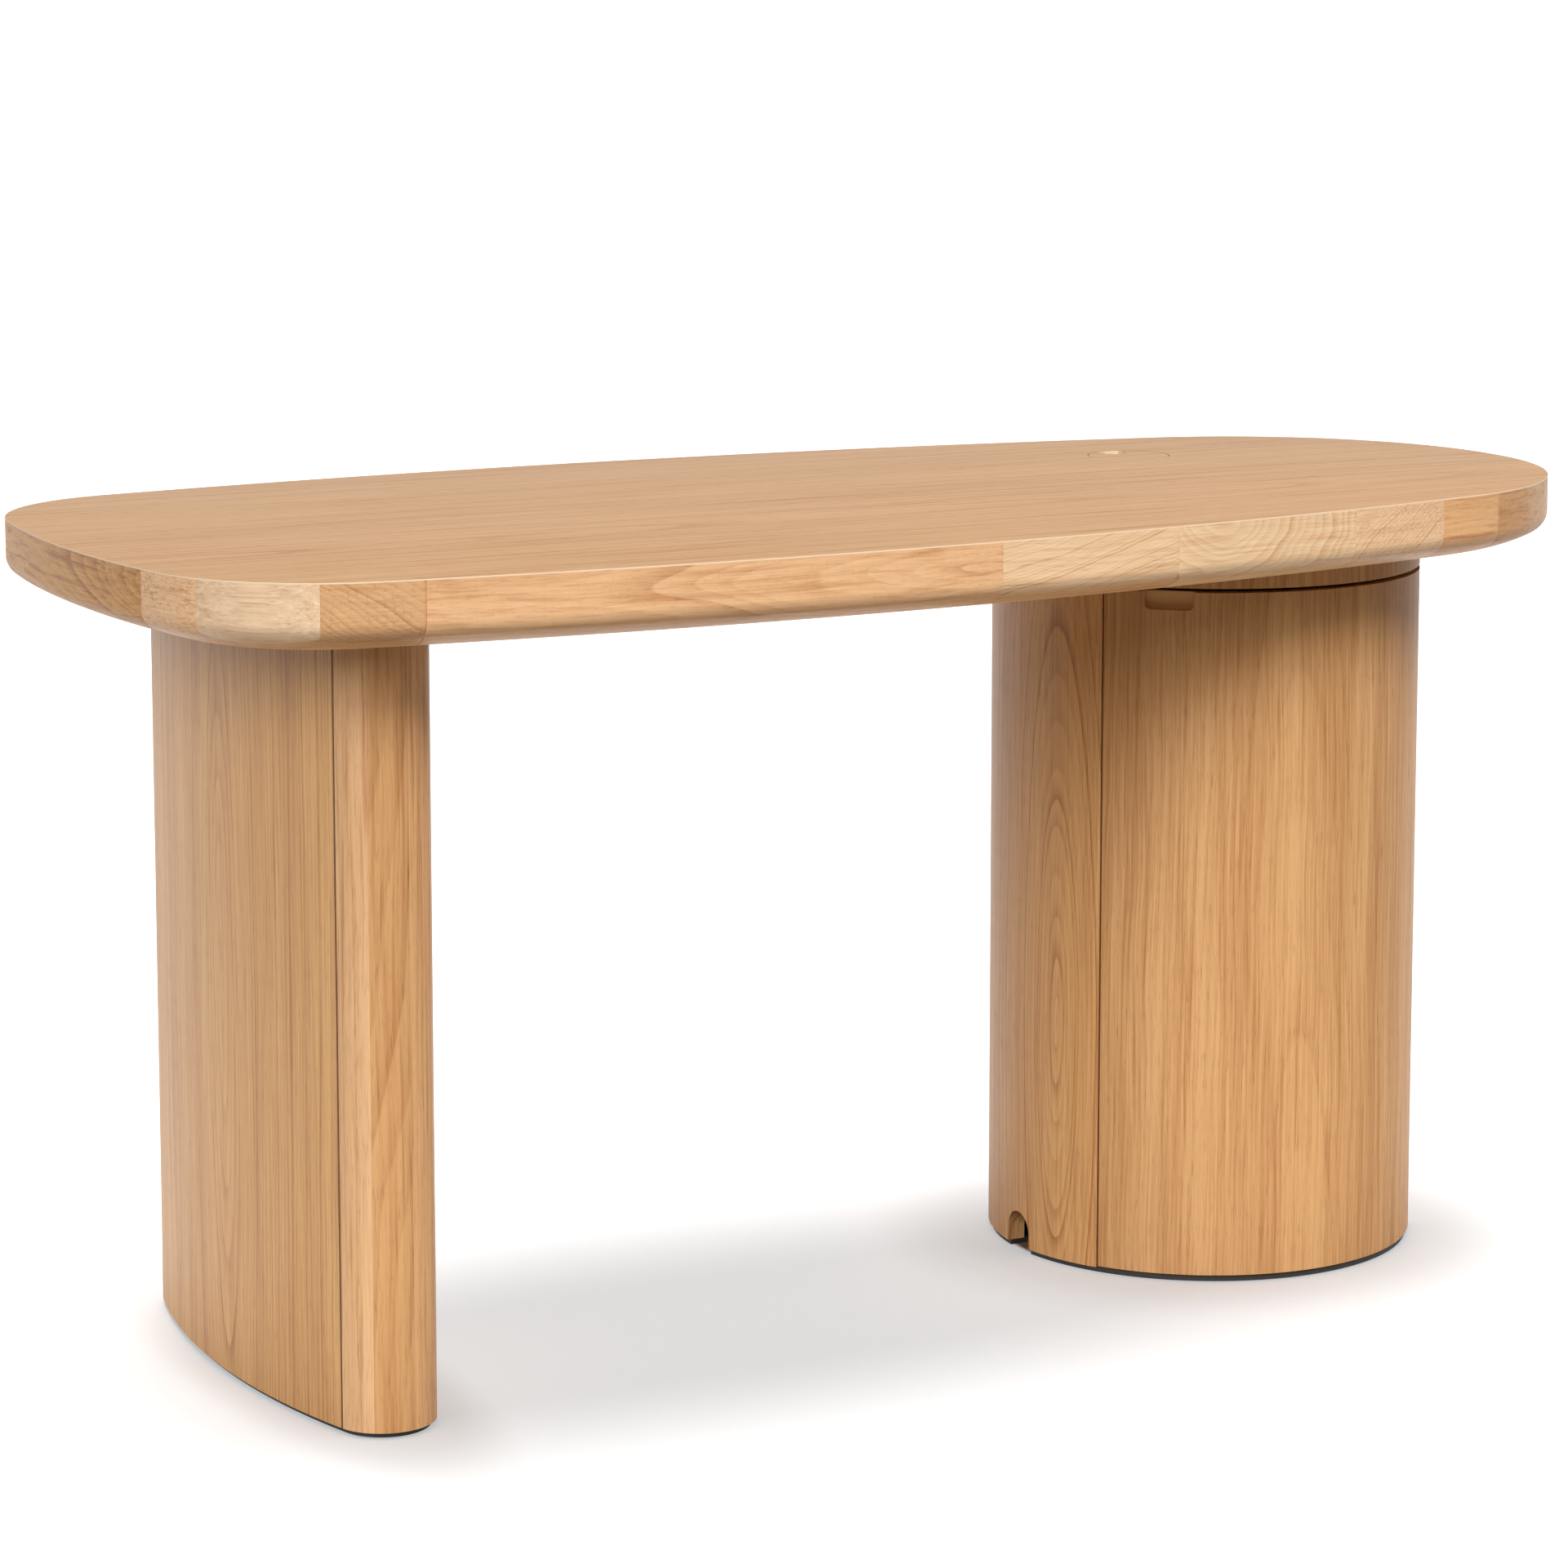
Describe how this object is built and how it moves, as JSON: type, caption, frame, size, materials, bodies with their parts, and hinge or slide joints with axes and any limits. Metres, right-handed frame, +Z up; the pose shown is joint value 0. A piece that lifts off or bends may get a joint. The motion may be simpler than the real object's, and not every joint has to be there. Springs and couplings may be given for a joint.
{
  "type": "office desk",
  "caption": "Oak desk with a bowed oblong top on a hollow lens-shaped leg and a round cupboard pedestal with a curved door and a cable port.",
  "frame": {"origin": "on the floor under the middle of the top", "axes": "+X along the length towards the pedestal, +Y to the back, away from the user, +Z up"},
  "size_m": [1.5, 0.705, 0.75],
  "materials": {
    "oak_veneer": "satin lacquered oak veneer",
    "solid_oak": "satin lacquered solid oak",
    "core_board": "raw board",
    "zinc_steel": "zinc plated",
    "dark_plastic": "matt black"
  },
  "bodies": {
    "desk": {"base_screws": "zinc_steel", "cable_port_block": "core_board", "cable_port_sleeve": "dark_plastic", "door_header": "oak_veneer", "door_thrust_washer": "dark_plastic", "duct_partition": "oak_veneer", "leg_access_caps": "oak_veneer", "leg_bottom_block": "core_board", "leg_foot_plate": "dark_plastic", "leg_front_stave_1": "solid_oak", "leg_front_stave_2": "solid_oak", "leg_front_stave_3": "solid_oak", "leg_inner_panel": "oak_veneer", "leg_nuts_and_washers": "zinc_steel", "leg_outer_panel": "oak_veneer", "leg_rear_stave_1": "solid_oak", "leg_rear_stave_2": "solid_oak", "leg_rear_stave_3": "solid_oak", "leg_ribs": "core_board", "leg_studs": "zinc_steel", "leg_top_block": "core_board", "lipping_back_1": "solid_oak", "lipping_back_2": "solid_oak", "lipping_back_3": "solid_oak", "lipping_back_4": "solid_oak", "lipping_back_5": "solid_oak", "lipping_front_1": "solid_oak", "lipping_front_10": "solid_oak", "lipping_front_2": "solid_oak", "lipping_front_3": "solid_oak", "lipping_front_4": "solid_oak", "lipping_front_5": "solid_oak", "lipping_front_6": "solid_oak", "lipping_front_7": "solid_oak", "lipping_front_8": "solid_oak", "lipping_front_9": "solid_oak", "lipping_left_end": "solid_oak", "magnetic_catch": "dark_plastic", "pedestal_base_plate": "oak_veneer", "pedestal_fixing_screws": "zinc_steel", "pedestal_plinth": "dark_plastic", "pedestal_shell": "oak_veneer", "pedestal_top_plate": "oak_veneer", "shelf_lower": "oak_veneer", "shelf_pins": "zinc_steel", "shelf_upper": "oak_veneer", "top_core_block_leg": "core_board", "top_core_block_pedestal": "core_board", "top_core_frame": "core_board", "top_face_veneer": "oak_veneer", "top_lower_board": "core_board", "top_upper_board": "core_board", "upper_pivot_bush": "dark_plastic"},
    "door": {"door_panel": "oak_veneer", "door_edge_strip": "solid_oak", "door_hinge_stile": "solid_oak", "door_pivot_pins": "zinc_steel", "catch_strike_plate": "zinc_steel"},
    "lid": {"cable_port_lid": "oak_veneer"}
  },
  "joints": [
    {"name": "door_hinge", "type": "hinge", "parent": "desk", "child": "door", "pos_m": [0.58065, -0.10692, 0.3], "axis": [0, 0, 1], "range_deg": [0, 90]},
    {"name": "lid_lift", "type": "slide", "parent": "desk", "child": "lid", "axis": [0, 0, 1], "range_m": [0, 0.04]}
  ]
}
